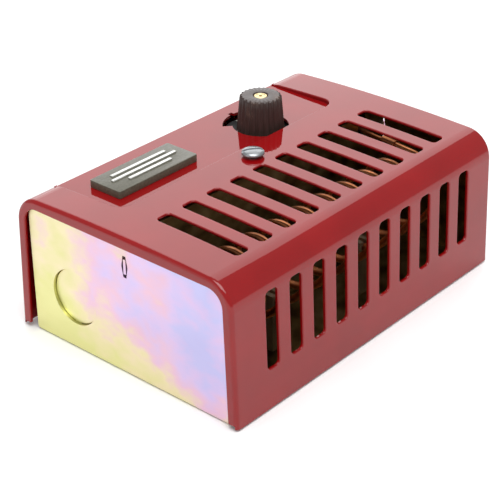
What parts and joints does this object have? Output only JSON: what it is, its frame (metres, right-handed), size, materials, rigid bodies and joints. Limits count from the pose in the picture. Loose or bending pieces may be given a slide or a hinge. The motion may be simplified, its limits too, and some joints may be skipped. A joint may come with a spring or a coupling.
{
  "type": "line voltage thermostat",
  "caption": "Wall-mounted air thermostat: glossy vented cover over a plated chassis, copper sensing coil, fluted setting knob, snap switch.",
  "frame": {"origin": "middle of the back face, which lies against the wall", "axes": "+Z out of the wall through the front; +X along the length, from the near end plate to the far end plate; -Y towards the slotted long wall"},
  "size_m": [0.1534, 0.1078, 0.0679],
  "materials": {
    "red_enamel": "glossy red baked enamel on steel",
    "dichromate_steel": "yellow zinc dichromate plate, iridescent",
    "copper_tube": "drawn copper",
    "natural_nylon": "moulded natural nylon",
    "turned_brass": "turned brass",
    "bright_zinc": "bright zinc plate",
    "spring_steel": "oiled spring steel",
    "brown_phenolic": "moulded brown phenolic",
    "black_phenolic": "moulded black phenolic",
    "black_dial": "printed dial",
    "fibre_sheet": "vulcanised fibre",
    "green_screw": "green passivated steel",
    "cast_nameplate": "cast and brushed"
  },
  "bodies": {
    "base": {"chassis": "dichromate_steel", "near_knockout": "dichromate_steel", "far_knockout": "dichromate_steel", "partition": "dichromate_steel", "partition_rivets": "dichromate_steel", "sensing_coil": "copper_tube", "solder_sleeve": "copper_tube", "capillary": "copper_tube", "coil_posts": "natural_nylon", "mechanism_bracket": "dichromate_steel", "bracket_rivets": "dichromate_steel", "shaft_bushing": "turned_brass", "bushing_nut": "turned_brass", "lever_pin": "bright_zinc", "bellows_cup": "dichromate_steel", "bellows": "turned_brass", "range_spring": "spring_steel", "switch_body": "black_phenolic", "switch_liner": "fibre_sheet", "cooling_terminal": "turned_brass", "line_terminal": "turned_brass", "heating_terminal": "turned_brass", "terminal_screws": "bright_zinc", "switch_screws": "bright_zinc", "ground_screw": "green_screw", "cover_post": "bright_zinc"},
    "cover": {"cover": "red_enamel", "nameplate": "cast_nameplate", "nameplate_clips": "spring_steel"},
    "cover_screw": {"cover_screw": "bright_zinc", "screw_retainer": "spring_steel"},
    "knob": {"knob": "brown_phenolic", "knob_insert": "turned_brass", "knob_set_screw": "spring_steel", "dial_scale": "black_dial", "adjusting_shaft": "turned_brass", "shaft_clip": "spring_steel"},
    "range_nut": {"range_nut": "dichromate_steel"},
    "lever": {"lever": "dichromate_steel"},
    "bellows_stem": {"bellows_stem": "turned_brass"},
    "switch_plunger": {"switch_plunger": "black_phenolic"}
  },
  "joints": [
    {"name": "cover_lift", "type": "slide", "parent": "base", "child": "cover", "axis": [0, 0, 1], "range_m": [0, 0.07]},
    {"name": "cover_screw_turn", "type": "hinge", "parent": "cover", "child": "cover_screw", "pos_m": [0, 0.0047, 0.0572], "axis": [0, 0, 1], "continuous": true},
    {"name": "knob_turn", "type": "hinge", "parent": "base", "child": "knob", "pos_m": [0.0266, 0.0236, 0.06], "axis": [0, 0, 1], "range_deg": [-150, 150]},
    {"name": "range_nut_climb", "type": "slide", "parent": "base", "child": "range_nut", "axis": [0, 0, 1], "range_m": [-0.00045, 0.00045]},
    {"name": "lever_rock", "type": "hinge", "parent": "base", "child": "lever", "pos_m": [0.058, 0.0236, 0.024], "axis": [0, 1, 0], "range_deg": [-1.1, 1.1], "stiffness_Nm_per_rad": 3, "deforming": ["range_spring"]},
    {"name": "bellows_stem_push", "type": "slide", "parent": "base", "child": "bellows_stem", "axis": [0, 0, 1], "range_m": [-0.00065, 0.00065], "deforming": ["bellows"]},
    {"name": "plunger_press", "type": "slide", "parent": "base", "child": "switch_plunger", "axis": [0, 0, 1], "range_m": [-0.0016, 0.0016]}
  ],
  "couplings": [
    {"joint": "range_nut_climb", "follows": "knob_turn", "m_per_rad": -0.00015915},
    {"joint": "bellows_stem_push", "follows": "lever_rock", "m_per_rad": 0.0314},
    {"joint": "plunger_press", "follows": "lever_rock", "m_per_rad": 0.078}
  ]
}
